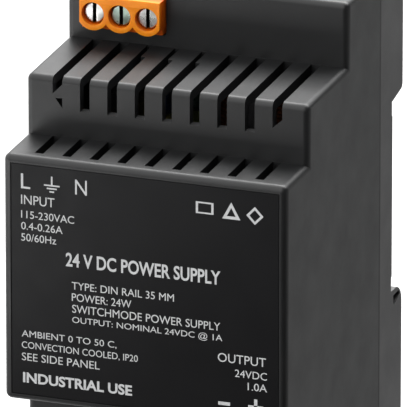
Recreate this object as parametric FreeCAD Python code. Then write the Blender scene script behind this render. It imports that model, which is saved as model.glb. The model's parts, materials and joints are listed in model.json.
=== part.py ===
import FreeCAD, Part
import math
import os

from FreeCAD import Vector

# DIN-rail power supply, three modules wide, in millimetres.
# X runs to the right as seen from the front, Y towards the rail, Z up.
# The origin is on the plane where the back rests on the 35 mm rail, at the rail's middle.

# --- driving dimensions -----------------------------------------------------------------
WIDTH = 52.5                 # three modules of 17.5
DEPTH = 59.0                 # front face to rearmost face
SEAT_DEPTH = 53.8            # front face to the rail plane
MID_STEP = 11.1              # front face to the middle tier's face
TERMINAL_STEP = 30.8         # front face to the terminal tier's face
AXIS_Z = -4.0                # the housing's own middle height lies below the rail's middle
FRONT_HALF = 22.5            # half heights about AXIS_Z
MID_INNER = 23.0             # where the drafted front ledge meets the middle face
MID_OUTER = 33.8
TERMINAL_INNER = 34.8        # where the drafted upper ledge meets the terminal face
TERMINAL_OUTER = 46.5
EDGE_R = 1.2                 # moulded edge radius
WALL = 1.8
SEAM_Y = -6.8                # joint between front housing and rear base
SEAM_R = 0.8                 # rounding of the base's front edge, seen as a groove at the joint

HALF_W = WIDTH / 2
FRONT_Y = -SEAT_DEPTH
MID_Y = FRONT_Y + MID_STEP
TERMINAL_Y = FRONT_Y + TERMINAL_STEP
REAR_Y = DEPTH - SEAT_DEPTH
TOP_Z = AXIS_Z + TERMINAL_OUTER
BOTTOM_Z = AXIS_Z - TERMINAL_OUTER

# vents
VENT_COUNT = 9
VENT_PITCH = 5.1
UPPER_VENT_W = 1.8
UPPER_VENT_DROP = 5.9        # how far a slot runs down the middle face
UPPER_VENT_BACK = 0.3        # solid strip left in front of the terminal face
HALF_CLOSED_VENTS = (2, 3, 4)
HALF_CLOSED_LENGTH = 5.5
LOWER_VENT_W = 1.6
LOWER_VENT_FRONT = 2.2       # solid ledge left behind the front face

# rail notch and hooks
RAIL_HALF = 17.5             # 35 mm top-hat rail
NOTCH_HALF = RAIL_HALF + 0.2  # a little play for the rail
SEAT_HALF = 15.0             # raised contact land between the hook slots
SLOT_RELIEF = 0.3            # hook slot floors lie this far in front of the land
LIP_GAP = 1.4                # rail edge thickness plus play
LIP_THICK = 2.2
LIP_REACH = 1.8              # overlap of a lip behind the rail edge's notch line
HOOK_WIDTH = 7.0
HOOK_X = 15.5
UPPER_CHEEK_SLOPE = 1.2      # rise of the upper cheek's end over its depth
UPPER_CHEEK_R = 1.0
LOWER_CHEEK_R = 3.2          # rounding of the lower cheek's end

# rear base
FLOOR = 2.0
TONGUE_THICK = 1.0
TONGUE_LENGTH = 2.0
FIT_GAP = 0.1
POCKET_FLOOR_Y = 1.2
CHEEK_WALL = 2.6
RELIEF_OUTLINE = ((0.9, -1.1), (3.6, -0.9), (4.3, -1.6), (3.2, -2.3), (1.5, -3.0), (0.9, -2.6))
RELIEF_DEPTH = 1.6
RIM_INSET = 1.1              # the tongue's root overlaps the base's wall from here inwards
RIM_DEPTH = 1.5

# sliding rail clip
CLIP_HALF = 5.5
CLIP_FLANGE_HALF = 7.0
CLIP_PLAY = 0.3
CLIP_FRONT_Y = 0.9
CLIP_FLANGE_REAR_Y = 2.3
CLIP_REAR_Y = 4.4
CLIP_TAB = 3.8               # pull tab below the housing
WINDOW_HALF = 2.6
WINDOW_TOP_Z = -27.3
WINDOW_BOTTOM_Z = -39.3
POST_TOP_Z = -37.3
POST_BOTTOM_Z = -39.0
SPRING_WIRE_R = 0.25
SPRING_R = 1.35
SPRING_TURNS = 6

# circuit board
BOARD_FRONT_Y = -10.8
BOARD_THICK = 1.6
BOARD_EDGE = 0.6             # gap between the board and the housing walls
BOARD_REAR_Y = BOARD_FRONT_Y + BOARD_THICK
POSTS = ((-20.0, 27.3), (20.0, 34.0), (-20.0, -39.0), (20.0, -35.5))
POST_R = 2.6
BOARD_SCREW_R = 1.1

# screw terminals
POLE_PITCH = 5.0
BLOCK_MARGIN = 3.3           # side of the housing to the block
BLOCK_GAP = 0.3              # shadow gap round the block in the housing
BLOCK_FRONT = 2.6            # collars stand this far in front of the terminal face
COLLAR_DEPTH = 1.5
COLLAR_R = 3.0
SCREW_Z = AXIS_Z + 40.2      # for the upper block; the lower one is mirrored about AXIS_Z
COLLAR_TOP_Z = AXIS_Z + 43.5
BLOCK_LOW_Z = AXIS_Z + 37.2
FOOT_LOW_Z = AXIS_Z + 35.9
FOOT_TOP_Z = AXIS_Z + 44.4
SCREW_HOLE_R = 2.1
HEAD_R = 1.9
HEAD_RECESS = 1.0
HEAD_THICK = 1.8
SLOT_W = 0.7
SLOT_DEPTH = 0.9
SHANK_R = 1.2
CAGE_HALF_X = 1.95
CAGE_WALL = 0.55
CAGE_PLATE = 0.9
CAGE_HALF_Z = 2.1
CAGE_TRAVEL = 2.5
CAGE_OPENING = 2.8           # wire space with the clamp open
BAR_HALF_X = 1.2
BAR_THICK = 0.8
THREAD_CLEARANCE = 0.08


def box(x0, x1, y0, y1, z0, z1):
    return Part.makeBox(x1 - x0, y1 - y0, z1 - z0, Vector(x0, y0, z0))


def rod_y(x, z, r, y0, y1):
    return Part.makeCylinder(r, y1 - y0, Vector(x, y0, z), Vector(0, 1, 0))


def rod_z(x, y, r, z0, z1):
    return Part.makeCylinder(r, z1 - z0, Vector(x, y, z0), Vector(0, 0, 1))


def rod_x(y, z, r, x0, x1):
    return Part.makeCylinder(r, x1 - x0, Vector(x0, y, z), Vector(1, 0, 0))


def prism(points, along):
    """A closed polygon of vectors, extruded by the vector `along`."""
    face = Part.Face(Part.makePolygon(points + [points[0]]))
    return face.extrude(along)


def prism_x(points, x0, x1):
    return prism([Vector(x0, y, z) for y, z in points], Vector(x1 - x0, 0, 0))


def prism_y(points, y0, y1):
    return prism([Vector(x, y0, z) for x, z in points], Vector(0, y1 - y0, 0))


def flipped(shape):
    """The shape mirrored from the upper half of the housing to the lower half."""
    return shape.mirror(Vector(0, 0, AXIS_Z), Vector(0, 0, 1))


def fused(shapes):
    return shapes[0].multiFuse(shapes[1:]).removeSplitter() if len(shapes) > 1 else shapes[0]


def export(name, *solids):
    shape = solids[0] if len(solids) == 1 else Part.makeCompound(list(solids))
    shape.exportStep("parts/%s.step" % name)


# --- front housing ----------------------------------------------------------------------

def stepped_outline(inset):
    """Half outline (y, z above AXIS_Z) of the stepped front, moved inwards by `inset`."""
    return [
        (SEAM_Y, TERMINAL_OUTER - inset),
        (TERMINAL_Y + inset, TERMINAL_OUTER - inset),
        (TERMINAL_Y + inset, TERMINAL_INNER - inset),
        (MID_Y + inset, MID_OUTER - inset),
        (MID_Y + inset, MID_INNER - inset),
        (FRONT_Y + inset, FRONT_HALF - inset),
    ]


def stepped_prism(inset, half_width):
    half = stepped_outline(inset)
    upper = [(y, AXIS_Z + z) for y, z in half]
    lower = [(y, AXIS_Z - z) for y, z in reversed(half)]
    return prism_x(upper + lower, -half_width, half_width)


def is_outer_edge(edge):
    """Edges rounded by the mould: every side edge but the seam's, and the convex cross edges."""
    middle = edge.BoundBox.Center
    if abs(middle.y - SEAM_Y) < 0.01:
        return False
    if abs(abs(middle.x) - HALF_W) < 0.01:
        return True
    convex = (
        (FRONT_Y, FRONT_HALF),
        (MID_Y, MID_OUTER),
        (TERMINAL_Y, TERMINAL_OUTER),
    )
    return any(
        abs(middle.y - y) < 0.01 and abs(abs(middle.z - AXIS_Z) - z) < 0.01 for y, z in convex
    )


def upper_vent(index):
    """One long slot over the upper ledge and down the middle face."""
    x = (index - (VENT_COUNT - 1) / 2) * VENT_PITCH
    left = x - UPPER_VENT_W / 2
    right = x + UPPER_VENT_W / 2
    top = AXIS_Z + TERMINAL_INNER + 1
    crest = AXIS_Z + MID_OUTER
    low = crest - UPPER_VENT_DROP
    back = TERMINAL_Y - UPPER_VENT_BACK
    inner = MID_Y + WALL + 1
    if index == 0:
        # a slanted rib crosses the slot and leaves a small corner open below it
        slot = prism_y([(left, top), (left, crest - 3.1), (right, crest - 1.3), (right, top)],
                       MID_Y - 1, back)
        corner = prism_y([(right, crest - 3.8), (right, crest - 5.6), (x - 0.4, crest - 3.9)],
                         MID_Y - 1, inner)
        return [slot, corner]
    if index == VENT_COUNT - 1:
        return [prism_y([(left, top), (left, crest - 4.7), (right, crest - 3.1), (right, top)],
                        MID_Y - 1, back)]
    if index in HALF_CLOSED_VENTS:
        return [
            box(left, x, MID_Y - 1, back, low, top),
            box(x, right, MID_Y - 1, back - HALF_CLOSED_LENGTH, low, top),
        ]
    return [box(left, right, MID_Y - 1, back, low, top)]


def lower_vent(index):
    """One slot in the front ledge."""
    x = (index - (VENT_COUNT - 1) / 2) * VENT_PITCH
    half = LOWER_VENT_W / 2
    ledge = AXIS_Z + FRONT_HALF
    return box(x - half, x + half, FRONT_Y + LOWER_VENT_FRONT, MID_Y - 0.1, ledge - 3, ledge + 2)


def block_span(poles):
    return poles * POLE_PITCH


INPUT_X0 = -HALF_W + BLOCK_MARGIN
OUTPUT_X1 = HALF_W - BLOCK_MARGIN
OUTPUT_X0 = OUTPUT_X1 - block_span(2)
BLOCK_FRONT_Y = TERMINAL_Y - BLOCK_FRONT
ENTRY_REAR_Y = -13.0


def terminal_notch(x0, poles):
    """The opening for a terminal block, cut through the terminal face and the top wall."""
    left = x0 - BLOCK_GAP
    right = x0 + block_span(poles) + BLOCK_GAP
    face = box(left, right, TERMINAL_Y - 1, TERMINAL_Y + WALL + 1, BLOCK_LOW_Z - BLOCK_GAP, TOP_Z + 1)
    roof = box(left, right, TERMINAL_Y - 1, ENTRY_REAR_Y, TOP_Z - WALL - 1, TOP_Z + 1)
    return [face, roof]


UPPER_CATCHES = (-3.0, 18.0)
LOWER_CATCHES = (-18.0, 3.0)
CATCH_W = 6.0
CATCH_Y0 = -12.0
CATCH_Y1 = -10.0
LABEL_HALF = HALF_W - 1.35
LABEL_TOP_Z = AXIS_Z + FRONT_HALF - 1.4
LABEL_BOTTOM_Z = AXIS_Z - FRONT_HALF + 1.15
LABEL_RECESS = 0.35
LABEL_THICK = 0.25
LABEL_GAP = 0.12


def on_both_ends(make):
    """The catch feature made by `make(x)`, at the top and mirrored at the bottom."""
    return [make(x) for x in UPPER_CATCHES] + [flipped(make(x)) for x in LOWER_CATCHES]


def catch_window(x):
    half = CATCH_W / 2
    return box(x - half, x + half, CATCH_Y0, CATCH_Y1, TOP_Z - WALL - 1, TOP_Z + 1)


def front_housing():
    outer = stepped_prism(0, HALF_W)
    outer = outer.makeFillet(EDGE_R, [e for e in outer.Edges if is_outer_edge(e)])
    inner = stepped_prism(WALL, HALF_W - WALL)
    cuts = [inner]
    for index in range(VENT_COUNT):
        cuts += upper_vent(index)
        cuts.append(lower_vent(index))
    cuts += [flipped(cut) for cut in cuts[1:]]
    cuts += terminal_notch(INPUT_X0, 3)
    cuts += [flipped(cut) for cut in terminal_notch(OUTPUT_X0, 2)]
    cuts.append(box(-LABEL_HALF, LABEL_HALF, FRONT_Y - 1, FRONT_Y + LABEL_RECESS,
                    LABEL_BOTTOM_Z, LABEL_TOP_Z))
    cuts += on_both_ends(catch_window)
    return outer.cut(cuts)


def front_label():
    return box(-LABEL_HALF + LABEL_GAP, LABEL_HALF - LABEL_GAP,
               FRONT_Y + LABEL_RECESS - LABEL_THICK, FRONT_Y + LABEL_RECESS,
               LABEL_BOTTOM_Z + LABEL_GAP, LABEL_TOP_Z - LABEL_GAP)


# --- rear base --------------------------------------------------------------------------

UPPER_CHEEK_END = NOTCH_HALF + UPPER_CHEEK_SLOPE


def cross_edges(shape, y, z):
    """The edges that run from side to side at (y, z)."""
    return [edge for edge in shape.Edges if edge.BoundBox.XLength > 1
            and abs(edge.BoundBox.Center.y - y) < 0.01 and abs(edge.BoundBox.Center.z - z) < 0.01]


def base_shell():
    """The base's outer form: a notch for the rail between two cheeks, with its rounded edges."""
    outline = [(SEAM_Y, TOP_Z), (REAR_Y, TOP_Z), (REAR_Y, UPPER_CHEEK_END), (0, NOTCH_HALF),
               (0, -NOTCH_HALF), (REAR_Y, -NOTCH_HALF), (REAR_Y, BOTTOM_Z), (SEAM_Y, BOTTOM_Z)]
    shell = prism_x(outline, -HALF_W, HALF_W)
    shell = shell.makeFillet(LOWER_CHEEK_R, cross_edges(shell, REAR_Y, -NOTCH_HALF))
    shell = shell.makeFillet(UPPER_CHEEK_R, cross_edges(shell, REAR_Y, UPPER_CHEEK_END))
    corners = [edge for edge in shell.Edges if edge.BoundBox.YLength > DEPTH - SEAT_DEPTH
               and abs(abs(edge.BoundBox.Center.z - AXIS_Z) - TERMINAL_OUTER) < 0.01]
    shell = shell.makeFillet(EDGE_R, corners)
    return shell.makeFillet(SEAM_R, [edge for edge in shell.Edges if edge.BoundBox.YMax < SEAM_Y + 0.01])


def fixed_hook(x):
    """A lip that reaches down behind the rail's upper edge."""
    front = LIP_GAP
    rear = LIP_GAP + LIP_THICK
    tip = NOTCH_HALF - LIP_REACH
    return prism_x([(front, NOTCH_HALF + 1.5), (front, tip + 0.5), (front + 0.4, tip), (rear - 0.9, tip),
                    (rear, tip + 0.9), (rear, NOTCH_HALF + 1.5)], x - HOOK_WIDTH / 2, x + HOOK_WIDTH / 2)


def rear_base():
    body = base_shell()
    cuts = [box(-HALF_W + WALL, HALF_W - WALL, SEAM_Y - 1, -FLOOR, BOTTOM_Z + WALL, TOP_Z - WALL)]
    # slot floors under the lips, a little in front of the raised contact land
    cuts.append(box(-HALF_W - 1, HALF_W + 1, -SLOT_RELIEF, 1, SEAT_HALF, NOTCH_HALF))
    cuts.append(box(-HALF_W - 1, HALF_W + 1, -SLOT_RELIEF, 1, -NOTCH_HALF, -SEAT_HALF))
    # pockets that lighten the two cheeks from behind
    pocket_x1 = HALF_W - CHEEK_WALL
    for x0, x1 in ((-pocket_x1, -8.2), (-7.0, 7.0), (8.2, pocket_x1)):
        cuts.append(box(x0, x1, POCKET_FLOOR_Y, REAR_Y + 1, NOTCH_HALF + 4.0, TOP_Z - 2.0))
    for x0, x1 in ((-pocket_x1, -9.6), (9.6, pocket_x1)):
        for z0, z1 in ((BOTTOM_Z + 2.0, -36.0), (-34.6, -NOTCH_HALF - 5.0)):
            cuts.append(box(x0, x1, POCKET_FLOOR_Y, REAR_Y + 1, z0, z1))
    # guide channel of the sliding clip, with an undercut for its flanges
    flange = CLIP_FLANGE_HALF + CLIP_PLAY
    spine = CLIP_HALF + CLIP_PLAY
    cuts.append(box(-flange, flange, CLIP_FRONT_Y - CLIP_PLAY, CLIP_FLANGE_REAR_Y + CLIP_PLAY,
                    BOTTOM_Z - 1, -NOTCH_HALF + 1))
    cuts.append(box(-spine, spine, CLIP_FRONT_Y - CLIP_PLAY, REAR_Y + 1, BOTTOM_Z - 1, -NOTCH_HALF + 1))
    # slanted relief in each lower cheek, close to the rail
    for x0, x1 in ((-HALF_W - 1, -HALF_W + RELIEF_DEPTH), (HALF_W - RELIEF_DEPTH, HALF_W + 1)):
        cuts.append(prism_x([(y, z - NOTCH_HALF) for y, z in RELIEF_OUTLINE], x0, x1))
    body = body.cut(cuts)
    outer = WALL + FIT_GAP
    inner = outer + TONGUE_THICK
    tongue = box(-HALF_W + outer, HALF_W - outer, SEAM_Y - TONGUE_LENGTH, SEAM_Y + RIM_DEPTH,
                 BOTTOM_Z + outer, TOP_Z - outer)
    hollow = box(-HALF_W + inner, HALF_W - inner, SEAM_Y - TONGUE_LENGTH - 1, SEAM_Y + 3,
                 BOTTOM_Z + inner, TOP_Z - inner)
    rim = box(-HALF_W + RIM_INSET, HALF_W - RIM_INSET, SEAM_Y, SEAM_Y + RIM_DEPTH,
              BOTTOM_Z + RIM_INSET, TOP_Z - RIM_INSET).cut(hollow)
    adds = [tongue.cut(hollow), rim]
    for x in (-HOOK_X, HOOK_X):
        adds.append(fixed_hook(x))
    adds.append(box(-WINDOW_HALF + 1.0, WINDOW_HALF - 1.0, 0, 4.2, POST_BOTTOM_Z, POST_TOP_Z))
    adds += on_both_ends(snap_catch)
    adds += [rod_y(x, z, POST_R, BOARD_REAR_Y, -FLOOR + 0.5) for x, z in POSTS]
    body = body.fuse(adds).removeSplitter()
    return body.cut([rod_y(x, z, BOARD_SCREW_R, BOARD_REAR_Y - 1, -FLOOR) for x, z in POSTS])


def snap_catch(x):
    """A springy arm inside the housing's top wall, with a nose in the wall's window."""
    half = CATCH_W / 2 - 0.15
    inner = TOP_Z - WALL - FIT_GAP - TONGUE_THICK
    outer = TOP_Z - WALL - FIT_GAP
    arm = box(x - half, x + half, CATCH_Y0 + 0.1, SEAM_Y - TONGUE_LENGTH + 0.2, inner, outer)
    y0 = CATCH_Y0 + 0.15
    y1 = CATCH_Y1 - 0.1
    nose = prism_x([(y0, outer - 0.2), (y1, outer - 0.2), (y1, TOP_Z - 0.4), (y0, outer + 0.3)],
                   x - half, x + half)
    return arm.fuse(nose)


# --- rail clip and its spring -----------------------------------------------------------

GRIP_TOP_Z = -44.0
GRIP_PITCH = 1.6


def rail_clip():
    tip = -NOTCH_HALF + LIP_REACH
    end = BOTTOM_Z - CLIP_TAB
    shoulder = -NOTCH_HALF - 0.6
    flange = box(-CLIP_FLANGE_HALF, CLIP_FLANGE_HALF, CLIP_FRONT_Y, CLIP_FLANGE_REAR_Y,
                 BOTTOM_Z + 1.2, shoulder)
    spine = prism_x([(CLIP_FRONT_Y, end + 0.6), (CLIP_FRONT_Y, shoulder), (LIP_GAP, shoulder + 0.5),
                     (LIP_GAP, tip), (LIP_GAP + 0.5, tip), (CLIP_REAR_Y, shoulder + 0.4),
                     (CLIP_REAR_Y, end + 0.6), (CLIP_REAR_Y - 0.6, end), (CLIP_FRONT_Y + 0.6, end)],
                    -CLIP_HALF, CLIP_HALF)
    body = flange.fuse(spine)
    window = box(-WINDOW_HALF, WINDOW_HALF, -1, REAR_Y + 1, WINDOW_BOTTOM_Z, WINDOW_TOP_Z)
    driver_slot = box(-2.6, 2.6, -1, REAR_Y + 1, end + 1.2, end + 2.7)
    grips = [box(-CLIP_HALF - 1, CLIP_HALF + 1, CLIP_REAR_Y - 0.4, CLIP_REAR_Y + 1, z, z + 0.6)
             for z in (GRIP_TOP_Z - GRIP_PITCH * step for step in range(3))]
    return body.cut([window, driver_slot] + grips).removeSplitter()


def clip_spring():
    """Open compression spring between the base's post and the clip's window."""
    length = WINDOW_TOP_Z - POST_TOP_Z - 2 * SPRING_WIRE_R - 0.1
    pitch = length / SPRING_TURNS
    helix = Part.makeHelix(pitch, length, SPRING_R)
    ring = Part.makeCircle(SPRING_WIRE_R, Vector(SPRING_R, 0, 0), Vector(0, 1, 0))
    wire = Part.Wire([ring])
    coil = Part.Wire(helix).makePipeShell([wire], True, True)
    coil.translate(Vector(0, 2.6, POST_TOP_Z + SPRING_WIRE_R + 0.05))
    return coil


# --- circuit board ----------------------------------------------------------------------

def pole_positions(x0, poles):
    return [x0 + POLE_PITCH * (index + 0.5) for index in range(poles)]


PIN_Z = AXIS_Z + 36.8
PIN_HALF_Z = 0.4
PIN_END_Y = -8.0
PIN_HOLE_R = 0.75


def main_board():
    side = HALF_W - WALL - BOARD_EDGE
    board = box(-side, side, BOARD_FRONT_Y, BOARD_REAR_Y, BOTTOM_Z + WALL + BOARD_EDGE + 0.6,
                TOP_Z - WALL - BOARD_EDGE - 0.6)
    cuts = [rod_y(x, z, BOARD_SCREW_R + 0.3, BOARD_FRONT_Y - 1, BOARD_REAR_Y + 1) for x, z in POSTS]
    for x in pole_positions(INPUT_X0, 3):
        cuts.append(rod_y(x, PIN_Z, PIN_HOLE_R, BOARD_FRONT_Y - 1, BOARD_REAR_Y + 1))
    for x in pole_positions(OUTPUT_X0, 2):
        cuts.append(flipped(rod_y(x, PIN_Z, PIN_HOLE_R, BOARD_FRONT_Y - 1, BOARD_REAR_Y + 1)))
    cuts += on_both_ends(board_notch)
    # isolation slot between the mains side and the output side
    cuts.append(box(-22.0, -3.0, BOARD_FRONT_Y - 1, BOARD_REAR_Y + 1, -19.0, -17.6))
    return board.cut(cuts)


def board_notch(x):
    """Room in the board's edge for a snap arm."""
    half = CATCH_W / 2 + 0.4
    return box(x - half, x + half, BOARD_FRONT_Y - 1, BOARD_REAR_Y + 1, TOP_Z - WALL - 3.0, TOP_Z)


def board_screw(x, z):
    """Pan-head screw with a cross recess, through the board into a post."""
    crown = BOARD_FRONT_Y - 1.5
    head = rod_y(x, z, 2.2, crown, BOARD_FRONT_Y)
    rim = [edge for edge in head.Edges if abs(edge.BoundBox.Center.y - crown) < 0.01]
    head = head.makeFillet(0.5, rim)
    shank = rod_y(x, z, BOARD_SCREW_R, BOARD_FRONT_Y - 0.1, BOARD_REAR_Y + 5.0)
    recess = [box(x - a, x + a, crown - 1, crown + 0.7, z - b, z + b)
              for a, b in ((1.4, 0.25), (0.25, 1.4))]
    return head.fuse(shank).cut(recess)


# --- screw terminals --------------------------------------------------------------------

HEAD_FRONT_Y = BLOCK_FRONT_Y + HEAD_RECESS
HEAD_REAR_Y = HEAD_FRONT_Y + HEAD_THICK
SEPTUM_REAR_Y = HEAD_REAR_Y + 0.9
CAGE_FRONT_Y = SEPTUM_REAR_Y + 0.2 + CAGE_TRAVEL
BAR_FRONT_Y = CAGE_FRONT_Y + CAGE_PLATE + 0.2
BAR_REAR_Y = BAR_FRONT_Y + BAR_THICK
CAGE_FLOOR_Y = BAR_REAR_Y + CAGE_OPENING
CAGE_REAR_Y = CAGE_FLOOR_Y + CAGE_PLATE
CAVITY_REAR_Y = CAGE_REAR_Y + 0.2
CAGE_GAP = 0.12
STEP_Y = -20.6               # the block grows from its collars' height to its foot's at this plane


def terminal_body(x0, poles):
    """Moulded block: scalloped collars in front, clamp chambers behind, wire entries on top."""
    x1 = x0 + block_span(poles)
    collar_rear = BLOCK_FRONT_Y + COLLAR_DEPTH
    shapes = [
        box(x0, x1, BLOCK_FRONT_Y, collar_rear, SCREW_Z, COLLAR_TOP_Z),
        box(x0, x1, collar_rear, STEP_Y, BLOCK_LOW_Z, COLLAR_TOP_Z),
        box(x0, x1, STEP_Y, BOARD_FRONT_Y, FOOT_LOW_Z, FOOT_TOP_Z),
    ]
    for x in pole_positions(x0, poles):
        collar = rod_y(x, SCREW_Z, COLLAR_R, BLOCK_FRONT_Y, collar_rear)
        shapes.append(collar.common(box(x0, x1, BLOCK_FRONT_Y, collar_rear, 0, TOP_Z)))
    body = fused(shapes)
    cuts = []
    for x in pole_positions(x0, poles):
        cage_x = CAGE_HALF_X + CAGE_GAP
        cage_z = CAGE_HALF_Z + CAGE_GAP
        cuts.append(rod_y(x, SCREW_Z, SCREW_HOLE_R, BLOCK_FRONT_Y - 1, HEAD_REAR_Y + 0.05))
        cuts.append(rod_y(x, SCREW_Z, SHANK_R + 0.1, HEAD_REAR_Y - 0.1, SEPTUM_REAR_Y + 0.1))
        cuts.append(box(x - cage_x, x + cage_x, SEPTUM_REAR_Y, CAVITY_REAR_Y,
                        SCREW_Z - cage_z, SCREW_Z + cage_z))
        entry_half = CAGE_HALF_X - 0.25
        cuts.append(box(x - entry_half, x + entry_half, BAR_REAR_Y + 0.1, CAGE_FLOOR_Y,
                        SCREW_Z, FOOT_TOP_Z + 1))
        funnel = 0.5
        cuts.append(box(x - entry_half - 0.25, x + entry_half + 0.25, BAR_REAR_Y - 0.15,
                        CAGE_FLOOR_Y + 0.25, FOOT_TOP_Z - funnel, FOOT_TOP_Z + 1))
        cuts.append(current_bar(x))
    return body.cut(cuts)


def current_bar(x):
    """Fixed bar through the clamp cage, bent down to a solder pin."""
    half = BAR_HALF_X
    bar = box(x - half, x + half, BAR_FRONT_Y, BAR_REAR_Y, PIN_Z - PIN_HALF_Z, SCREW_Z + CAGE_HALF_Z)
    leg = box(x - 0.5, x + 0.5, BAR_FRONT_Y, PIN_END_Y, PIN_Z - PIN_HALF_Z, PIN_Z + PIN_HALF_Z)
    return bar.fuse(leg).removeSplitter()


def terminal_screw(x):
    head = rod_y(x, SCREW_Z, HEAD_R, HEAD_FRONT_Y, HEAD_REAR_Y)
    rim = [e for e in head.Edges if abs(e.BoundBox.Center.y - HEAD_FRONT_Y) < 0.01]
    head = head.makeFillet(0.25, rim)
    shank = rod_y(x, SCREW_Z, SHANK_R, HEAD_REAR_Y - 0.1, BAR_FRONT_Y - 0.2)
    slot = box(x - SLOT_W / 2, x + SLOT_W / 2, HEAD_FRONT_Y - 1, HEAD_FRONT_Y + SLOT_DEPTH,
               SCREW_Z - 3, SCREW_Z + 3)
    return head.fuse(shank).cut(slot).removeSplitter()


def clamp_cage(x):
    """Box clamp: threaded front plate, two cheeks and the floor that lifts the wire."""
    outer = box(x - CAGE_HALF_X, x + CAGE_HALF_X, CAGE_FRONT_Y, CAGE_REAR_Y,
                SCREW_Z - CAGE_HALF_Z, SCREW_Z + CAGE_HALF_Z)
    inner_x = CAGE_HALF_X - CAGE_WALL
    window = box(x - inner_x, x + inner_x, CAGE_FRONT_Y + CAGE_PLATE, CAGE_FLOOR_Y,
                 SCREW_Z - 5, SCREW_Z + 5)
    thread = rod_y(x, SCREW_Z, SHANK_R + THREAD_CLEARANCE, CAGE_FRONT_Y - 1, CAGE_FRONT_Y + CAGE_PLATE + 1)
    return outer.cut([window, thread])


# --- parts on the board -----------------------------------------------------------------

LEAD_R = 0.35
LEAD_PITCH = 2.54
# a transistor standing on its leads, with its tab in front of the resin's end
TAB_FRONT_Y = -31.5
TAB_HOLE_Y = -28.6
RESIN_FRONT_Y = -25.5
RESIN_REAR_Y = -16.0
PACKAGE_HALF_Z = 5.0
SINK_SCREW_R = 1.3
# ring choke lying with its axis along Z
RING_AXIS_Y = BOARD_FRONT_Y - 9.5
RING_R = 8.0
RING_HOLE_R = 4.2
RING_HALF_Z = 3.5
WIRE_LAYER = 0.9
RESISTOR_AXIS_Y = BOARD_FRONT_Y - 2.2


def tin(x, z, r, height, y=BOARD_FRONT_Y):
    """Electrolytic capacitor can standing on the board, with its crimp groove and vent cross."""
    can = rod_y(x, z, r, y - height, y)
    top = [e for e in can.Edges if abs(e.BoundBox.Center.y - (y - height)) < 0.01]
    can = can.makeFillet(0.6, top)
    groove = rod_y(x, z, r + 1, y - 2.6, y - 2.0).cut(rod_y(x, z, r - 0.4, y - 3, y))
    vents = [box(x - r * 0.6, x + r * 0.6, y - height - 1, y - height + 0.2, z - 0.2, z + 0.2),
             box(x - 0.2, x + 0.2, y - height - 1, y - height + 0.2, z - r * 0.6, z + r * 0.6)]
    return can.cut([groove] + vents)


def block(x0, x1, z0, z1, height, edge=0.5):
    solid = box(x0, x1, BOARD_FRONT_Y - height, BOARD_FRONT_Y, z0, z1)
    return solid.makeFillet(edge, [e for e in solid.Edges if e.BoundBox.YMax < BOARD_FRONT_Y - 0.01])


def disc(x, y, z, r, thick):
    """Dipped disc component standing on edge, facing X, on two leads."""
    body = rod_x(y, z, r, x - thick / 2, x + thick / 2)
    body = body.makeFillet(thick * 0.35, body.Edges[:1] + body.Edges[2:3])
    leads = [rod_y(x, z + side * r * 0.5, LEAD_R, y, BOARD_FRONT_Y) for side in (-1, 1)]
    return body.fuse(leads)


def transistor(x, z, facing):
    """TO-220 style package standing on three leads, its tab against a heat sink at +facing X."""
    z0 = z - PACKAGE_HALF_Z
    z1 = z + PACKAGE_HALF_Z
    tab = box(x, x + 1.3, TAB_FRONT_Y, RESIN_REAR_Y, z0, z1)
    resin = box(x - 3.2, x, RESIN_FRONT_Y, RESIN_REAR_Y, z0, z1)
    leads = [box(x - 2.0, x - 1.4, RESIN_REAR_Y - 0.1, BOARD_FRONT_Y, z + step - 0.4, z + step + 0.4)
             for step in (-LEAD_PITCH, 0, LEAD_PITCH)]
    body = tab.fuse([resin] + leads)
    hole = rod_x(TAB_HOLE_Y, z, 1.9, x - 5, x + 5)
    body = body.cut(hole).removeSplitter()
    if facing < 0:
        body = body.mirror(Vector(x, 0, 0), Vector(1, 0, 0))
    return body


def heat_sink(x0, x1, z0, z1, height, screw_z, foot_x):
    """Folded aluminium plate with two feet on the board and a threaded hole."""
    top = BOARD_FRONT_Y - height
    plate = box(x0, x1, top, BOARD_FRONT_Y - 1.0, z0, z1)
    feet = [box(x0, x1, BOARD_FRONT_Y - 1.2, BOARD_FRONT_Y, z, z + 2.5) for z in (z0 + 1, z1 - 3.5)]
    wing = box(min(x0, foot_x), max(x1, foot_x), top, top + 1.5, z0, z1)
    thread = rod_x(TAB_HOLE_Y, screw_z, SINK_SCREW_R, x0 - 1, x1 + 1)
    return plate.fuse(feet + [wing]).cut(thread).removeSplitter()


def sink_screw(x, z, facing):
    """Screw that clamps a transistor's tab to its heat sink."""
    head = rod_x(TAB_HOLE_Y, z, 2 * SINK_SCREW_R, x - 2.0, x)
    shank = rod_x(TAB_HOLE_Y, z, SINK_SCREW_R, x - 0.1, x + 3.2)
    slot = box(x - 3, x - 1.2, TAB_HOLE_Y - 0.4, TAB_HOLE_Y + 0.4, z - 3, z + 3)
    body = head.fuse(shank).cut(slot).removeSplitter()
    if facing < 0:
        body = body.mirror(Vector(x, 0, 0), Vector(1, 0, 0))
    return body


CORE_X = 5.0
CORE_Z = -6.0
CORE_HALF = 12.5
CORE_HALF_Z = 3.6
CORE_REAR_Y = BOARD_FRONT_Y - 3.0
CORE_HEIGHT = 25.0
CORE_LEG_HALF = 3.6
CORE_WINDOW_HALF = 9.0       # from the middle to the inside of an outer leg


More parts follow.
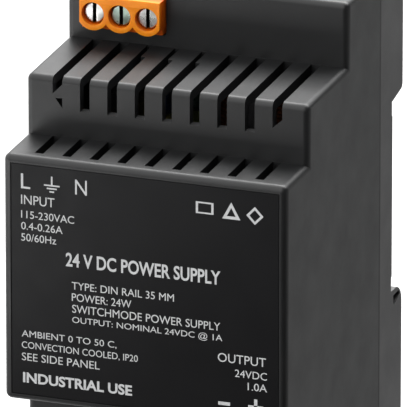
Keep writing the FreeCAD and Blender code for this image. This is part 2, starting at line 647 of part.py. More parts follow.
def transformer_core():
    """E-shaped ferrite pair as one closed frame with a middle leg."""
    front = CORE_REAR_Y - CORE_HEIGHT
    frame = box(CORE_X - CORE_HALF, CORE_X + CORE_HALF, front, CORE_REAR_Y,
                CORE_Z - CORE_HALF_Z, CORE_Z + CORE_HALF_Z)
    yoke = CORE_LEG_HALF
    windows = [box(CORE_X + a, CORE_X + b, front + yoke, CORE_REAR_Y - yoke, CORE_Z - 10, CORE_Z + 10)
               for a, b in ((-CORE_WINDOW_HALF, -CORE_LEG_HALF), (CORE_LEG_HALF, CORE_WINDOW_HALF))]
    return frame.cut(windows)


def transformer_bobbin():
    """Coil former: a tube round the middle leg, two flanges and a pin foot."""
    front = CORE_REAR_Y - CORE_HEIGHT + CORE_LEG_HALF + 0.1
    rear = CORE_REAR_Y - CORE_LEG_HALF - 0.1
    z0 = CORE_Z - CORE_HALF_Z
    z1 = CORE_Z + CORE_HALF_Z
    tube = box(CORE_X - 4.5, CORE_X + 4.5, front, rear, z0 - 1.0, z1 + 1.0)
    flanges = [box(CORE_X - 8.9, CORE_X + 8.9, y, y + 1.0, z0 - 5.6, z1 + 5.6)
               for y in (front, rear - 1.0)]
    feet = [box(CORE_X - 11.0, CORE_X + 11.0, rear - 1.0, BOARD_FRONT_Y, z, z + 3.0)
            for z in (z0 - 5.6, z1 + 2.6)]
    body = tube.fuse(flanges + feet)
    leg = box(CORE_X - CORE_LEG_HALF, CORE_X + CORE_LEG_HALF, front - 1, rear + 1, z0 - 0.05, z1 + 0.05)
    return body.cut([leg]).removeSplitter()


def transformer_winding():
    front = CORE_REAR_Y - CORE_HEIGHT + 4.7
    rear = CORE_REAR_Y - 4.7
    z0 = CORE_Z - CORE_HALF_Z
    z1 = CORE_Z + CORE_HALF_Z
    outer = box(CORE_X - 8.4, CORE_X + 8.4, front, rear, z0 - 5.2, z1 + 5.2)
    outer = outer.makeFillet(3.0, [e for e in outer.Edges if e.BoundBox.YLength > 1])
    return outer.cut(box(CORE_X - 4.5, CORE_X + 4.5, front - 1, rear + 1, z0 - 1.0, z1 + 1.0))


def choke_core(x, z):
    ring = rod_z(x, RING_AXIS_Y, RING_R, z - RING_HALF_Z, z + RING_HALF_Z)
    return ring.cut(rod_z(x, RING_AXIS_Y, RING_HOLE_R, z - 4, z + 4))


def choke_winding(x, z, side):
    """One half winding as a block of wire round the ring."""
    half = RING_HALF_Z + 1.0
    sector = Part.makeCylinder(RING_R + WIRE_LAYER, 2 * half, Vector(x, RING_AXIS_Y, z - half),
                               Vector(0, 0, 1), 120)
    sector.rotate(Vector(x, RING_AXIS_Y, z), Vector(0, 0, 1), -60 if side > 0 else 120)
    sector = sector.cut(rod_z(x, RING_AXIS_Y, RING_HOLE_R - WIRE_LAYER, z - 6, z + 6))
    return sector.cut(choke_core(x, z))


def drum_choke(x, z):
    """Wound ferrite drum standing on the board, as the flanges and the wire between them."""
    flanges = [rod_y(x, z, 4.5, BOARD_FRONT_Y - y - 1.5, BOARD_FRONT_Y - y) for y in (0, 10.5)]
    return fused([rod_y(x, z, 4.1, BOARD_FRONT_Y - 11, BOARD_FRONT_Y - 1)] + flanges)


def dual_in_line(x, z, half_x, half_z, pins):
    """Small moulded integrated circuit with its leads, lying on the board."""
    body = box(x - half_x, x + half_x, BOARD_FRONT_Y - 3.8, BOARD_FRONT_Y - 0.5, z - half_z, z + half_z)
    leads = []
    for index in range(pins):
        at = x + (index - (pins - 1) / 2) * LEAD_PITCH
        for side in (-1, 1):
            edge = z + side * half_z
            leads.append(box(at - 0.4, at + 0.4, BOARD_FRONT_Y - 2.2, BOARD_FRONT_Y,
                             min(edge, edge + side * 0.5), max(edge, edge + side * 0.5)))
    return body.fuse(leads)


def resistor(x, z):
    body = rod_z(x, RESISTOR_AXIS_Y, 1.6, z - 4.5, z + 4.5)
    body = body.makeFillet(0.6, body.Edges[:1] + body.Edges[2:3])
    leads = [rod_y(x, z + side * 6.0, LEAD_R, RESISTOR_AXIS_Y, BOARD_FRONT_Y) for side in (-1, 1)]
    bends = [rod_z(x, RESISTOR_AXIS_Y, LEAD_R, z + a, z + b) for a, b in ((-6.0, -4.4), (4.4, 6.0))]
    return body.fuse(leads + bends)


def export_board_parts():
    export("fuse", tin(-18.5, 19.8, 4.0, 8.0))
    export("varistor", disc(-9.5, BOARD_FRONT_Y - 7.5, 22.5, 5.5, 4.0))
    export("inrush_limiter", disc(-3.5, BOARD_FRONT_Y - 6.5, 22.5, 4.5, 3.6))
    export("line_filter_capacitor", block(-23.5, -14.5, -5.0, 13.0, 14.5))
    export("line_choke_core", choke_core(10.5, 22.5))
    export("line_choke_windings", choke_winding(10.5, 22.5, -1), choke_winding(10.5, 22.5, 1))
    export("bridge_rectifier", block(-12.5, -8.0, -2.0, 12.5, 11.0, 0.4))
    export("bulk_capacitor", tin(2.0, 10.6, 7.0, 27.0))
    export("switching_transistor", transistor(17.6, 9.0, 1))
    export("primary_heat_sink", heat_sink(18.9, 20.4, -1.5, 18.0, 29.3, 9.0, 12.0))
    export("primary_heat_sink_screw", sink_screw(17.6, 9.0, 1))
    export("transformer_core", transformer_core())
    export("transformer_bobbin", transformer_bobbin())
    export("transformer_winding", transformer_winding())
    export("isolation_capacitor", disc(-6.0, BOARD_FRONT_Y - 6.0, -20.4, 4.0, 3.6))
    export("optocoupler", dual_in_line(-12.0, -18.3, 2.4, 3.2, 2))
    export("controller_chip", dual_in_line(-17.0, -10.4, 4.9, 3.2, 4))
    export("output_diode", transistor(-17.0, -27.5, -1))
    export("output_heat_sink", heat_sink(-19.8, -18.3, -34.5, -20.5, 26.0, -27.5, -12.0))
    export("output_heat_sink_screw", sink_screw(-17.0, -27.5, -1))
    export("output_capacitor_1", tin(-5.5, -30.0, 5.0, 20.0))
    export("output_capacitor_2", tin(6.0, -30.0, 5.0, 20.0))
    export("output_choke", drum_choke(16.0, -25.0))
    export("resistors", resistor(22.3, -8.0), resistor(-12.0, -40.0), resistor(2.0, 25.0))


SHEET_REAR_Y = -5.0
SHEET_THICK = 0.3
SHEET_SIDE_GAP = 2.2
SHEET_END_GAP = 2.6


def insulating_sheet():
    side = HALF_W - WALL - SHEET_SIDE_GAP
    end = WALL + SHEET_END_GAP
    sheet = box(-side, side, SHEET_REAR_Y - SHEET_THICK, SHEET_REAR_Y, BOTTOM_Z + end, TOP_Z - end)
    return sheet.cut([rod_y(x, z, POST_R + 0.4, SHEET_REAR_Y - 2, SHEET_REAR_Y + 2) for x, z in POSTS])


def main():
    os.makedirs("parts", exist_ok=True)
    export("front_housing", front_housing())
    export("front_label", front_label())
    export("rear_base", rear_base())
    export("rail_clip", rail_clip())
    export("clip_spring", clip_spring())
    export("main_board", main_board())
    export("board_screws", *[board_screw(x, z) for x, z in POSTS])
    export("insulating_sheet", insulating_sheet())
    export("input_terminal_body", terminal_body(INPUT_X0, 3))
    export("output_terminal_body", flipped(terminal_body(OUTPUT_X0, 2)))
    input_x = pole_positions(INPUT_X0, 3)
    output_x = pole_positions(OUTPUT_X0, 2)
    export("input_current_bars", *[current_bar(x) for x in input_x])
    export("output_current_bars", *[flipped(current_bar(x)) for x in output_x])
    for index, x in enumerate(input_x, 1):
        export("input_screw_%d" % index, terminal_screw(x))
        export("input_cage_%d" % index, clamp_cage(x))
    for index, x in enumerate(output_x, 1):
        export("output_screw_%d" % index, flipped(terminal_screw(x)))
        export("output_cage_%d" % index, flipped(clamp_cage(x)))
    export_board_parts()


main()
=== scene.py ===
import json
import math

import bmesh
import bpy
from mathutils import Matrix, Vector


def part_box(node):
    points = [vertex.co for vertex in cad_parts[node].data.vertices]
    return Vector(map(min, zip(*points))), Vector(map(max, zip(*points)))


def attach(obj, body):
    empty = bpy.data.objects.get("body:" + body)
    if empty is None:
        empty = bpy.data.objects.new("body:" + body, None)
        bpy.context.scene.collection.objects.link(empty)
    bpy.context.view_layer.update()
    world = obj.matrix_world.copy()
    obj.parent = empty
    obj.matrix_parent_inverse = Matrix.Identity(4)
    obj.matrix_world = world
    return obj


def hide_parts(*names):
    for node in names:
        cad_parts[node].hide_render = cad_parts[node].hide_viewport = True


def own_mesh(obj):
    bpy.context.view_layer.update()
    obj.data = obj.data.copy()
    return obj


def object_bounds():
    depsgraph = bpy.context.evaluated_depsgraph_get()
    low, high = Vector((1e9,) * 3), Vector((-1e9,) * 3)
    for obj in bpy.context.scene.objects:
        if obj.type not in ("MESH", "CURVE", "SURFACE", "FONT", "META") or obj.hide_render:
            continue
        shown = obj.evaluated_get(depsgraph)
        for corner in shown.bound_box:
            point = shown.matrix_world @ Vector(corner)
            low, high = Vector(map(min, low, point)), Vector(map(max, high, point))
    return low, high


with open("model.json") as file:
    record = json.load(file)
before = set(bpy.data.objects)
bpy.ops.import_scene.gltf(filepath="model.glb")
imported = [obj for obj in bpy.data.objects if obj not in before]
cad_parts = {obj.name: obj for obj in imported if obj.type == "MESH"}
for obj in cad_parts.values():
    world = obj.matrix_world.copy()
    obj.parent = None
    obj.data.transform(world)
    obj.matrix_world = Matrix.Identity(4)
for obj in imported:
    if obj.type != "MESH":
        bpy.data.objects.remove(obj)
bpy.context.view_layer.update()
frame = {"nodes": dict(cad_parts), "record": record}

MM = 0.001
NODES = frame["nodes"]
RANGE_SOCKETS = ("From Min", "From Max", "To Min", "To Max")


# --- materials --------------------------------------------------------------------------

class Material:
    """A node material with a principled shader, and short calls that add detail to it, in metres."""

    def __init__(self, name):
        self.material = bpy.data.materials.new(name)
        self.material.use_nodes = True
        self.tree = self.material.node_tree
        self.shader = self.tree.nodes["Principled BSDF"]
        self.coords = self.add("ShaderNodeTexCoord").outputs["Object"]

    def add(self, kind, **values):
        node = self.tree.nodes.new(kind)
        for key, value in values.items():
            setattr(node, key, value)
        return node

    def link(self, source, target):
        self.tree.links.new(source, target)

    def set(self, **values):
        """Sets constant values on the shader's own sockets."""
        names = {"color": "Base Color", "rough": "Roughness", "metal": "Metallic",
                 "specular": "Specular IOR Level", "subsurface": "Subsurface Weight",
                 "subsurface_scale": "Subsurface Scale"}
        for key, value in values.items():
            if key == "color":
                value = (*value, 1)
            self.shader.inputs[names[key]].default_value = value

    def noise(self, size, detail=3.0, stretch=(1, 1, 1)):
        """Noise whose features are about `size` metres across."""
        mapping = self.add("ShaderNodeMapping")
        mapping.inputs["Scale"].default_value = stretch
        self.link(self.coords, mapping.inputs["Vector"])
        node = self.add("ShaderNodeTexNoise")
        node.inputs["Scale"].default_value = 1 / size
        node.inputs["Detail"].default_value = detail
        node.inputs["Roughness"].default_value = 0.55
        self.link(mapping.outputs["Vector"], node.inputs["Vector"])
        return node.outputs["Fac"]

    def cells(self, size):
        """Distance to the nearest of scattered points about `size` metres apart."""
        node = self.add("ShaderNodeTexVoronoi")
        node.inputs["Scale"].default_value = 1 / size
        self.link(self.coords, node.inputs["Vector"])
        return node.outputs["Distance"]

    def ramp(self, value, low, high, from_low=0.3, from_high=0.7):
        """Maps a socket's range linearly; noise mostly lies between 0.3 and 0.7."""
        node = self.add("ShaderNodeMapRange")
        for key, number in zip(RANGE_SOCKETS, (from_low, from_high, low, high)):
            node.inputs[key].default_value = number
        self.link(value, node.inputs["Value"])
        return node.outputs["Result"]

    def mix(self, factor, first, second):
        """Colour between two colours or sockets by a factor socket."""
        node = self.add("ShaderNodeMix", data_type="RGBA")
        self.link(factor, node.inputs["Factor"])
        for value, socket in ((first, node.inputs[6]), (second, node.inputs[7])):
            if isinstance(value, tuple):
                socket.default_value = (*value, 1)
            else:
                self.link(value, socket)
        return node.outputs[2]

    def depth_behind(self, front, near, far, most=1.0):
        """0 up to `most`, from `near` to `far` metres behind the plane at Y = front."""
        place = self.add("ShaderNodeSeparateXYZ")
        self.link(self.coords, place.inputs[0])
        return self.ramp(place.outputs["Y"], 0, most, front + near, front + far)

    def color(self, socket):
        self.link(socket, self.shader.inputs["Base Color"])

    def rough(self, socket):
        self.link(socket, self.shader.inputs["Roughness"])

    def bump(self, *layers):
        """Each layer is (height socket, depth in metres)."""
        normal = None
        for height, depth in layers:
            node = self.add("ShaderNodeBump")
            node.inputs["Strength"].default_value = 1.0
            node.inputs["Distance"].default_value = depth
            self.link(height, node.inputs["Height"])
            if normal is not None:
                self.link(normal, node.inputs["Normal"])
            normal = node.outputs["Normal"]
        self.link(normal, self.shader.inputs["Normal"])

    def worn_edges(self, base, worn):
        """Base colour that turns half to the worn colour on raised edges, broken up by noise."""
        pointy = self.add("ShaderNodeNewGeometry").outputs["Pointiness"]
        edge = self.ramp(pointy, 0.0, 0.5, 0.53, 0.63)
        breakup = self.ramp(self.noise(0.0012, 4), 0.2, 1.0, 0.35, 0.65)
        both = self.add("ShaderNodeMath", operation="MULTIPLY")
        self.link(edge, both.inputs[0])
        self.link(breakup, both.inputs[1])
        return self.mix(both.outputs[0], base, worn)


def moulded(name, tone, roughness, grain=0.00022, depth=0.000006, specular=0.5):
    """Spark-eroded moulded plastic: fine grain, slow mottling and edges rubbed a little lighter."""
    m = Material(name)
    m.set(specular=specular)
    slow = m.noise(0.012, 4)
    fine = m.noise(grain, 2)
    base = m.mix(m.ramp(slow, 0, 1), tone, tuple(c * 1.25 for c in tone))
    m.color(m.worn_edges(base, tuple(c * 1.3 + 0.0002 for c in tone)))
    m.rough(m.ramp(m.noise(0.007, 5), roughness - 0.04, roughness + 0.05))
    m.bump((m.cells(grain), depth), (fine, depth), (m.noise(0.004, 2), 0.00001))
    return m.material


def printed_film(name):
    """Black polyester film with a very fine matt grain."""
    m = Material(name)
    m.color(m.mix(m.ramp(m.noise(0.02, 3), 0, 1), (0.0028, 0.0028, 0.0034), (0.0045, 0.0045, 0.0052)))
    m.set(specular=0.17)
    m.rough(m.ramp(m.noise(0.006, 4), 0.32, 0.4))
    m.bump((m.noise(0.00012, 2), 0.000002))
    return m.material


def ink(name, tone):
    """Screen-printed ink of slightly uneven density."""
    m = Material(name)
    m.color(m.mix(m.ramp(m.noise(0.0004, 3), 0, 1), tuple(c * 0.86 for c in tone), tone))
    m.rough(m.ramp(m.noise(0.002, 2), 0.45, 0.6))
    m.bump((m.noise(0.0002, 2), 0.000002))
    return m.material


def orange_polyamide(name, front):
    """Orange moulded polyamide, a little translucent, with painted shade: deep dark red on surfaces
    behind the front face, in the holes and on the sides.
    """
    m = Material(name)
    # Painted shade: from 0.1 to 1 mm behind the front face the colour turns up to 70% of the way to a
    # deep dark red.
    behind = m.depth_behind(front, 0.1 * MM, 1.0 * MM, 0.7)
    flow = m.noise(0.004, 4, (1, 1, 2.5))
    base = m.mix(m.ramp(flow, 0, 1), (0.90, 0.24, 0.005), (1.0, 0.31, 0.010))
    m.color(m.mix(behind, m.worn_edges(base, (0.95, 0.36, 0.03)), (0.82, 0.085, 0.001)))
    m.set(specular=0.22)
    m.rough(m.ramp(m.noise(0.003, 4), 0.36, 0.46))
    m.set(subsurface=0.12, subsurface_scale=0.6 * MM)
    m.shader.inputs["Subsurface Radius"].default_value = (1.0, 0.35, 0.08)
    m.bump((m.noise(0.00015, 2), 0.000004))
    return m.material


def metal(name, tone, roughness, scratch=(1, 1, 1), size=0.0005):
    """Plated metal with fine drawn or turned marks and duller spots."""
    m = Material(name)
    m.set(metal=1.0)
    spots = m.ramp(m.noise(0.0018, 5), 0, 1, 0.42, 0.62)
    m.color(m.mix(spots, tone, tuple(c * 0.72 for c in tone)))
    marks = m.noise(size, 3, scratch)
    m.rough(m.ramp(marks, roughness - 0.08, roughness + 0.12))
    m.bump((marks, 0.000008))
    return m.material


def screw_head(name, crown, low=(0.40, 0.41, 0.40), high=(0.78, 0.78, 0.76)):
    """Nickel plate, bright on the head's face, with painted shade: near black in the slot and on the
    shank.
    """
    m = Material(name)
    m.set(metal=1.0)
    # Painted shade: from 0.1 to 0.4 mm behind the crown the colour goes to near black.
    depth = m.depth_behind(crown, 0.1 * MM, 0.4 * MM)
    plate = m.mix(m.ramp(m.noise(0.0015, 1), 0, 1), low, high)
    m.color(m.mix(depth, plate, (0.012, 0.012, 0.011)))
    m.rough(m.ramp(m.noise(0.0012, 2), 0.22, 0.4))
    m.bump((m.noise(0.0009, 1), 0.000008))
    return m.material


def laminate(name):
    """Epoxy board with a woven look and darker tracks showing through the varnish."""
    m = Material(name)
    weave = m.cells(0.0008)
    base = m.mix(m.ramp(weave, 0, 1, 0.0, 0.6), (0.20, 0.19, 0.045), (0.28, 0.25, 0.07))
    tracks = m.ramp(m.noise(0.006, 1), 0, 1, 0.5, 0.53)
    m.color(m.mix(tracks, base, (0.13, 0.15, 0.04)))
    m.rough(m.ramp(m.noise(0.003, 3), 0.3, 0.45))
    m.bump((weave, 0.00001))
    return m.material


def lacquered(name, tone, roughness=0.25, mottle=0.003):
    """Dipped, sleeved or cast electronic part with a slightly uneven glossy skin."""
    m = Material(name)
    m.color(m.mix(m.ramp(m.noise(mottle, 4), 0, 1), tuple(c * 0.75 for c in tone), tone))
    m.rough(m.ramp(m.noise(0.002, 3), roughness - 0.06, roughness + 0.1))
    m.bump((m.noise(0.0011, 3), 0.00002))
    return m.material


def wound(name, tone):
    """Close-laid enamelled wire, drawn as level bands."""
    m = Material(name)
    m.set(metal=0.9)
    wave = m.add("ShaderNodeTexWave", wave_type="BANDS", bands_direction="Z")
    wave.inputs["Scale"].default_value = 420
    wave.inputs["Distortion"].default_value = 0.6
    m.link(m.coords, wave.inputs["Vector"])
    m.color(m.mix(wave.outputs["Fac"], tuple(c * 0.35 for c in tone), tone))
    m.rough(m.ramp(m.noise(0.001, 3), 0.25, 0.4))
    m.bump((wave.outputs["Fac"], 0.0001))
    return m.material


def paper_floor(name):
    """Pale seamless paper with a faint tooth."""
    m = Material(name)
    m.color(m.mix(m.ramp(m.noise(0.3, 3), 0, 1), (0.55, 0.55, 0.55), (0.57, 0.57, 0.57)))
    m.set(rough=0.8)
    m.bump((m.noise(0.0015, 3), 0.00002))
    return m.material


SCREW_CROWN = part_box("input_screw_1")[0].y
MATERIALS = {
    "housing_plastic": moulded("satin_black", (0.0055, 0.0058, 0.0062), 0.43),
    "base_plastic": moulded("satin_black_base", (0.016, 0.016, 0.0165), 0.45, specular=0.9),
    "label_film": printed_film("black_film"),
    "clip_plastic": moulded("black_nylon", (0.011, 0.011, 0.0115), 0.45, 0.0003, 0.00001),
    "spring_steel": metal("spring_wire", (0.62, 0.62, 0.63), 0.28, (1, 1, 6)),
    "board": laminate("board_laminate"),
    "screw_steel": metal("zinc_plate", (0.66, 0.66, 0.64), 0.35),
    "insulating_film": lacquered("insulating_film", (0.6, 0.56, 0.42), 0.4, 0.01),
    "terminal_plastic": orange_polyamide("orange_polyamide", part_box("input_terminal_body")[0].y),
    "tinned_brass": metal("tinned_brass", (0.74, 0.72, 0.67), 0.3),
    "nickel_screw": screw_head("nickel_plate", SCREW_CROWN),
    "cage_steel": metal("bright_zinc", (0.68, 0.70, 0.72), 0.3),
    "fuse_plastic": lacquered("fuse_case", (0.02, 0.02, 0.02), 0.35),
    "blue_resin": lacquered("blue_dip", (0.008, 0.03, 0.12), 0.3),
    "dark_resin": lacquered("dark_dip", (0.015, 0.03, 0.022), 0.25),
    "box_capacitor": lacquered("yellow_case", (0.20, 0.15, 0.02), 0.4),
    "ferrite": lacquered("ferrite", (0.035, 0.034, 0.036), 0.5, 0.001),
    "copper_wire": wound("copper_winding", (0.26, 0.085, 0.03)),
    "black_resin": lacquered("black_epoxy", (0.018, 0.018, 0.02), 0.5, 0.0008),
    "can_sleeve": lacquered("can_sleeve", (0.012, 0.014, 0.03), 0.25, 0.006),
    "aluminium_sheet": metal("mill_aluminium", (0.75, 0.76, 0.78), 0.3, (1, 8, 1), 0.002),
    "bobbin_plastic": lacquered("phenolic", (0.03, 0.022, 0.018), 0.4),
    "winding_tape": lacquered("yellow_tape", (0.22, 0.15, 0.02), 0.35, 0.01),
    "resistor_body": lacquered("resistor_body", (0.35, 0.26, 0.17), 0.35),
}
EARTH_SCREW = screw_head("earth_screw_plate", SCREW_CROWN, (0.26, 0.34, 0.29), (0.50, 0.62, 0.54))
WHITE_INK = ink("white_ink", (0.52, 0.525, 0.53))

SLOT_OF = {entry["node"]: entry["material_slot"] for entry in frame["record"]["subparts"]}
BODY_OF = {node: body for body, members in frame["record"]["behaviour"]["bodies"].items()
           for node in members}


def paint(piece, material):
    """Makes the material the piece's only one."""
    piece.data.materials.clear()
    piece.data.materials.append(material)


for node, slot in SLOT_OF.items():
    paint(NODES[node], MATERIALS[slot])


# --- refined shells over the CAD solids -------------------------------------------------

def add_object(name, mesh):
    """A new object in the scene that shows the mesh."""
    piece = bpy.data.objects.new(name, mesh)
    bpy.context.scene.collection.objects.link(piece)
    return piece


def cleaned_mesh(node):
    """A copy of a CAD mesh with welded points and its flat faces merged."""
    mesh = NODES[node].data.copy()
    work = bmesh.new()
    work.from_mesh(mesh)
    bmesh.ops.remove_doubles(work, verts=work.verts, dist=2e-6)
    flat = math.radians(0.5)
    bmesh.ops.dissolve_limit(work, angle_limit=flat, verts=work.verts, edges=work.edges)
    bmesh.ops.triangulate(work, faces=[face for face in work.faces if len(face.verts) > 4])
    bmesh.ops.join_triangles(work, faces=work.faces, angle_face_threshold=flat,
                             angle_shape_threshold=math.radians(60))
    work.to_mesh(mesh)
    work.free()
    return mesh


def bake(piece):
    """Applies the piece's modifiers to its mesh."""
    graph = bpy.context.evaluated_depsgraph_get()
    mesh = bpy.data.meshes.new_from_object(piece.evaluated_get(graph), preserve_all_data_layers=True,
                                           depsgraph=graph)
    piece.modifiers.clear()
    piece.data = mesh


def stand_for(piece, node):
    """The piece takes the CAD node's place, on the same body, and the CAD node is hidden."""
    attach(piece, BODY_OF[node])
    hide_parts(node)


def refine(node, edge, segments=2):
    """The CAD part with small moulded radii on its sharp edges and smooth shading."""
    piece = add_object(node + "_finished", cleaned_mesh(node))
    piece.data.shade_smooth()
    bevel = piece.modifiers.new("edges", "BEVEL")
    bevel.width = edge
    bevel.segments = segments
    bevel.limit_method = "ANGLE"
    bevel.angle_limit = math.radians(35)
    bevel.use_clamp_overlap = True
    bevel.miter_outer = "MITER_ARC"
    normals = piece.modifiers.new("normals", "WEIGHTED_NORMAL")
    normals.keep_sharp = True
    normals.weight = 100
    bake(piece)
    paint(piece, MATERIALS[SLOT_OF[node]])
    stand_for(piece, node)


refine("front_housing", 0.14 * MM)
refine("rear_base", 0.14 * MM)
refine("rail_clip", 0.2 * MM)
refine("front_label", 0.04 * MM, 1)
for block in ("input_terminal_body", "output_terminal_body"):
    refine(block, 0.07 * MM)
for node in NODES:
    if node.startswith(("input_screw_", "output_screw_")):
        refine(node, 0.06 * MM)
paint(bpy.data.objects["input_screw_2_finished"], EARTH_SCREW)


# --- printed front ----------------------------------------------------------------------

LABEL_LOW, LABEL_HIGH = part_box("front_label")
INK_THICKNESS = 0.02 * MM
SPREAD = {3: 2.0, 4: 1.414}    # how far a corner moves in for a band one unit wide, by corner count


class Print:
    """Collects flat lettering and marks on the label, in mm right and down from its top left corner."""

    def __init__(self):
        self.work = bmesh.new()

    def place(self, mesh, right, down, width, height):
        """Stretches a flat mesh (x right, y up) to a box with its lower left corner at right, down."""
        xs = [v.co.x for v in mesh.vertices]
        ys = [v.co.y for v in mesh.vertices]
        wide, tall = max(xs) - min(xs), max(ys) - min(ys)
        scale_x, scale_y = width * MM / wide, height * MM / tall
        left = LABEL_LOW.x + right * MM
        base = LABEL_HIGH.z - down * MM
        for vertex in mesh.vertices:
            x = left + (vertex.co.x - min(xs)) * scale_x
            z = base + (vertex.co.y - min(ys)) * scale_y
            y = LABEL_LOW.y - (INK_THICKNESS if vertex.co.z > 0 else -INK_THICKNESS)
            vertex.co = (x, y, z)
        self.work.from_mesh(mesh)
        bpy.data.meshes.remove(mesh)

    def text(self, words, right, base, width, height, weight=0.0):
        """Lettering stretched to fill a box that stands on `base`; `weight` thickens its strokes."""
        curve = bpy.data.curves.new("words", "FONT")
        curve.body = words
        curve.offset = weight
        curve.extrude = 0.001
        curve.resolution_u = 4
        item = bpy.data.objects.new("words", curve)
        bpy.context.scene.collection.objects.link(item)
        bpy.context.view_layer.update()
        graph = bpy.context.evaluated_depsgraph_get()
        mesh = bpy.data.meshes.new_from_object(item.evaluated_get(graph))
        bpy.data.objects.remove(item)
        self.place(mesh, right, base, width, height)

    def outline(self, points):
        """A filled outline, as a closed slab as thick as the ink and let into the film below."""
        work = bmesh.new()
        for level in (1, -1):
            ring = [work.verts.new((LABEL_LOW.x + x * MM, LABEL_LOW.y - level * INK_THICKNESS,
                                    LABEL_HIGH.z - y * MM)) for x, y in points]
            work.faces.new(ring if level > 0 else ring[::-1])
        work.verts.ensure_lookup_table()
        count = len(points)
        for i in range(count):
            j = (i + 1) % count
            work.faces.new((work.verts[j], work.verts[i], work.verts[count + i], work.verts[count + j]))
        mesh = bpy.data.meshes.new("outline")
        work.to_mesh(mesh)
        work.free()
        self.work.from_mesh(mesh)
        bpy.data.meshes.remove(mesh)

    def bar(self, x0, x1, y0, y1):
        """A filled upright rectangle."""
        self.outline([(x0, y0), (x1, y0), (x1, y1), (x0, y1)])

    def frame(self, corners, stroke):
        """The outline of a shape as a band `stroke` wide, shrunk towards the shape's middle."""
        count = len(corners)
        mid = [sum(corner[k] for corner in corners) / count for k in (0, 1)]
        inside = []
        for x, y in corners:
            reach = math.hypot(x - mid[0], y - mid[1])
            share = max(0.0, 1 - stroke * SPREAD[count] / reach)
            inside.append((mid[0] + (x - mid[0]) * share, mid[1] + (y - mid[1]) * share))
        for i in range(count):
            j = (i + 1) % count
            self.outline([corners[i], corners[j], inside[j], inside[i]])

    def earth_sign(self, middle, top):
        """A stem over three bars of falling length."""
        self.bar(middle - 0.15, middle + 0.15, top, top + 1.53)
        for half_width, drop in ((1.45, 1.53), (0.92, 2.09), (0.43, 2.66)):
            self.bar(middle - half_width, middle + half_width, top + drop, top + drop + 0.27)

    def finish(self, name):
        """Makes all that was collected one piece on the housing."""
        bmesh.ops.recalc_face_normals(self.work, faces=self.work.faces)
        mesh = bpy.data.meshes.new(name)
        self.work.to_mesh(mesh)
        self.work.free()
        piece = add_object(name, mesh)
        paint(piece, WHITE_INK)
        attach(piece, "housing")


LEFT, MIDDLE = 1.84, 11.24     # left edges of the two columns of small lines
ROUND = 0.05                   # lines that begin with a round letter start this much further in

front = Print()
# names of the input terminals: L, earth, N
front.text("L", LEFT, 4.39, 1.73, 2.71)
front.earth_sign(7.58, 1.64)
front.text("N", 11.93, 4.35, 2.18, 2.71)
# input ratings
front.text("INPUT", LEFT, 7.26, 6.23, 1.69)
front.text("115-230VAC", LEFT, 9.81, 9.89, 1.38)
front.text("0.4-0.26A", LEFT, 11.91, 7.72, 1.38)
front.text("50/60Hz", LEFT, 14, 6.53, 1.38)
# three plain marks at the top right: a rectangle, a triangle and a diamond
front.frame([(34.29, 2.92), (37.55, 2.92), (37.55, 5.06), (34.29, 5.06)], 0.35)
front.frame([(39.14, 5.47), (40.82, 2.4), (42.5, 5.47)], 0.5)
front.frame([(43.59, 4.35), (45.17, 2.71), (46.75, 4.35), (45.17, 5.98)], 0.4)
# headline and general ratings
front.text("24 V DC POWER SUPPLY", 10.15, 17.73, 28.69, 2.55, 0.02)
front.text("TYPE: DIN RAIL 35 MM", MIDDLE, 21.82, 18.99, 1.38)
front.text("POWER: 24W", MIDDLE, 23.96, 11.08, 1.43)
front.text("SWITCHMODE POWER SUPPLY", MIDDLE + ROUND, 26.11, 27.5, 1.48)
front.text("OUTPUT: NOMINAL 24VDC @ 1A", MIDDLE + ROUND, 28.26, 27.9, 1.48)
# conditions of use
front.text("AMBIENT 0 TO 50 C,", LEFT, 31.83, 17.71, 1.38)
front.text("CONVECTION COOLED, IP20", LEFT, 33.93, 21.67, 1.43)
front.text("SEE SIDE PANEL", LEFT, 36.02, 14.54, 1.43)
front.text("INDUSTRIAL USE", 2.04, 40.11, 20.38, 1.94, 0.03)
# output ratings, over a minus and a plus for the output terminals
front.text("OUTPUT", 38.35, 31.73, 8.9, 1.63)
front.text("24VDC", 41.51, 34.18, 5.94, 1.38)
front.text("1.0A", 43.89, 36.33, 3.56, 1.38)
front.bar(38.44, 40.62, 39.04, 39.65)
front.bar(43.98, 46.75, 39.04, 39.65)
front.bar(45.07, 45.67, 37.86, 40.82)
front.finish("front_print")


# --- clip spring ------------------------------------------------------------------------

spring = add_object("clip_spring_coil", NODES["clip_spring"].data.copy())
spring.data.shade_smooth()
stand_for(spring, "clip_spring")
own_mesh(spring)


# --- stage and light --------------------------------------------------------------------

LOW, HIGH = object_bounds()
CENTRE = (LOW + HIGH) / 2
FLOOR_HALF = 6.0


def level_card(name, x0, x1, y0, y1, z):
    """A level rectangle, added to the scene."""
    mesh = bpy.data.meshes.new(name)
    mesh.from_pydata([(x0, y0, z), (x1, y0, z), (x1, y1, z), (x0, y1, z)], [], [(0, 1, 2, 3)])
    card = add_object(name, mesh)
    return card


floor = level_card("floor", -FLOOR_HALF, FLOOR_HALF, -FLOOR_HALF, FLOOR_HALF, LOW.z)
paint(floor, paper_floor("paper_floor"))

world = bpy.data.worlds.new("studio")
world.use_nodes = True
world.node_tree.nodes["Background"].inputs["Color"].default_value = (1.0, 1.0, 1.0, 1)
bpy.context.scene.world = world
# components of a direction between which the tent's brightness changes
TENT_RISE = (0.0, 0.22)        # upward: dim below the first, bright above the second
TENT_TURN = (-0.15, 0.5)       # rightward: bright below the first, dim above the second


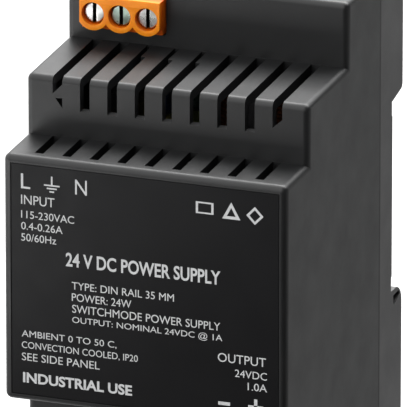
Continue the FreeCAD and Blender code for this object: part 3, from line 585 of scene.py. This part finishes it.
def shade_world(tree, horizon, top, dim_side):
    """A light tent: `horizon` bright at eye level, `top` overhead, `dim_side` of that to the right."""
    direction = tree.nodes.new("ShaderNodeTexCoord")
    parts = tree.nodes.new("ShaderNodeSeparateXYZ")
    tree.links.new(direction.outputs["Generated"], parts.inputs[0])
    levels = []
    for axis, numbers in (("Z", (*TENT_RISE, horizon, top)), ("X", (*TENT_TURN, 1.0, dim_side))):
        level = tree.nodes.new("ShaderNodeMapRange")
        level.interpolation_type = "SMOOTHSTEP"
        for key, number in zip(RANGE_SOCKETS, numbers):
            level.inputs[key].default_value = number
        tree.links.new(parts.outputs[axis], level.inputs["Value"])
        levels.append(level)
    both = tree.nodes.new("ShaderNodeMath")
    both.operation = "MULTIPLY"
    for level, socket in zip(levels, both.inputs):
        tree.links.new(level.outputs["Result"], socket)
    tree.links.new(both.outputs[0], tree.nodes["Background"].inputs["Strength"])


def softbox(name, place, aim, width, height, radiance):
    """A rectangular area light; `radiance` is how bright it looks, where white paper is 1."""
    light = bpy.data.lights.new(name, "AREA")
    light.shape = "RECTANGLE"
    light.size = width
    light.size_y = height
    light.energy = radiance * math.pi * width * height
    lamp = bpy.data.objects.new(name, light)
    bpy.context.scene.collection.objects.link(lamp)
    lamp.location = place
    lamp.rotation_euler = (Vector(aim) - Vector(place)).to_track_quat("-Z", "Y").to_euler()


shade_world(world.node_tree, horizon=0.05, top=2.0, dim_side=0.02)
softbox("key", place=(0.10, 0.62, 1.1), aim=CENTRE, width=1.3, height=0.75, radiance=10.5)

GROUND = LOW.z + 1 * MM
SIDE, BACK = 0.6, 0.6                              # how far the studio cards reach to the sides and back
FRONT, FAR_Y, NEAR_Y, FACE_Y = -0.6, -0.27, -0.15, -0.056    # edges of the cards, far to near
LEFT_X, RIGHT_X = -0.07, 0.03                      # edges of the middle card


def flag(name, x0, x1, y0, y1, tone):
    """A studio card on the floor. It only tints what the object's skin reflects."""
    card = level_card(name, x0, x1, y0, y1, GROUND)
    m = Material(name)
    m.set(color=(0, 0, 0), specular=0.0)
    m.shader.inputs["Emission Color"].default_value = (1, 1, 1, 1)
    m.shader.inputs["Emission Strength"].default_value = tone
    paint(card, m.material)
    for ray in ("camera", "diffuse", "shadow", "transmission", "volume_scatter"):
        setattr(card, "visible_" + ray, False)


flag("flag_front_left", -SIDE, LEFT_X, FAR_Y, NEAR_Y, 5.6)
flag("flag_front_near", -SIDE, RIGHT_X, NEAR_Y, FACE_Y, 0.35)
flag("flag_front_far", -SIDE, LEFT_X, FRONT, FAR_Y, 0.4)
flag("flag_front_middle", LEFT_X, RIGHT_X, FRONT, NEAR_Y, 0.12)
flag("flag_front_right", RIGHT_X, SIDE, FRONT, FACE_Y, 0.0)
flag("flag_right", RIGHT_X, SIDE, FACE_Y, BACK, 0.42)


# --- camera -----------------------------------------------------------------------------

AZIMUTH = math.radians(20.7)
ELEVATION = math.radians(18.6)
DISTANCE = 2.0
LENS = 1007.5
AIM = Vector((0.0, -0.0248, -0.0040))
LIFT = 0.0070                # the view's centre lies this far above the aim point

camera_data = bpy.data.cameras.new("camera")
camera_data.lens = LENS
camera_data.sensor_width = 36.0
camera_data.clip_end = 50.0
camera = bpy.data.objects.new("camera", camera_data)
bpy.context.scene.collection.objects.link(camera)
forward = Vector((-math.sin(AZIMUTH) * math.cos(ELEVATION), math.cos(AZIMUTH) * math.cos(ELEVATION),
                  -math.sin(ELEVATION)))
across = Vector((math.cos(AZIMUTH), math.sin(AZIMUTH), 0))
up = across.cross(forward)
rotation = Matrix((across, up, -forward)).transposed()
camera.matrix_world = Matrix.Translation(AIM + up * LIFT - forward * DISTANCE) @ rotation.to_4x4()
bpy.context.scene.camera = camera
bpy.context.scene.view_settings.view_transform = "Standard"
